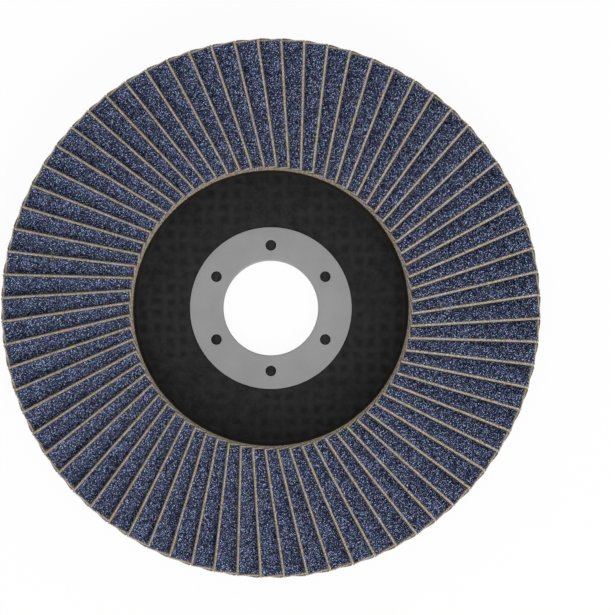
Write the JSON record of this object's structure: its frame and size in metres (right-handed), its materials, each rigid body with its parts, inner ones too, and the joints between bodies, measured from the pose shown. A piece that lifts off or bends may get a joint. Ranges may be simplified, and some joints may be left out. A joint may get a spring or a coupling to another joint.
{
  "type": "flap disc",
  "caption": "Flat grinding disc with overlapping abrasive cloth flaps glued in a ring on a sunken-hub fibre plate with a steel bore ring.",
  "frame": {"origin": "on the bore axis in the back face of the hub, which the grinder's flange bears on", "axes": "+Z along the bore axis, out of the abrasive face; +Y through one of the six holes of the bore ring"},
  "size_m": [0.125, 0.125, 0.0124],
  "materials": {
    "abrasive_cloth": "coarse blue-grey grit on tan cloth",
    "fibre_plate": "black resin over glass mesh",
    "adhesive": "cured dark brown resin",
    "steel_ring": "dull grey plated steel"
  },
  "bodies": {
    "root": {"backing_plate": "fibre_plate", "bore_ring": "steel_ring", "adhesive_bed": "adhesive", "flap_pair_01": "abrasive_cloth", "flap_pair_02": "abrasive_cloth", "flap_pair_03": "abrasive_cloth", "flap_pair_04": "abrasive_cloth", "flap_pair_05": "abrasive_cloth", "flap_pair_06": "abrasive_cloth", "flap_pair_07": "abrasive_cloth", "flap_pair_08": "abrasive_cloth", "flap_pair_09": "abrasive_cloth", "flap_pair_10": "abrasive_cloth", "flap_pair_11": "abrasive_cloth", "flap_pair_12": "abrasive_cloth", "flap_pair_13": "abrasive_cloth", "flap_pair_14": "abrasive_cloth", "flap_pair_15": "abrasive_cloth", "flap_pair_16": "abrasive_cloth", "flap_pair_17": "abrasive_cloth", "flap_pair_18": "abrasive_cloth", "flap_pair_19": "abrasive_cloth", "flap_pair_20": "abrasive_cloth", "flap_pair_21": "abrasive_cloth", "flap_pair_22": "abrasive_cloth", "flap_pair_23": "abrasive_cloth", "flap_pair_24": "abrasive_cloth", "flap_pair_25": "abrasive_cloth", "flap_pair_26": "abrasive_cloth", "flap_pair_27": "abrasive_cloth", "flap_pair_28": "abrasive_cloth", "flap_pair_29": "abrasive_cloth", "flap_pair_30": "abrasive_cloth", "flap_pair_31": "abrasive_cloth", "flap_pair_32": "abrasive_cloth", "flap_pair_33": "abrasive_cloth", "flap_pair_34": "abrasive_cloth", "flap_pair_35": "abrasive_cloth", "flap_pair_36": "abrasive_cloth"}
  },
  "joints": []
}
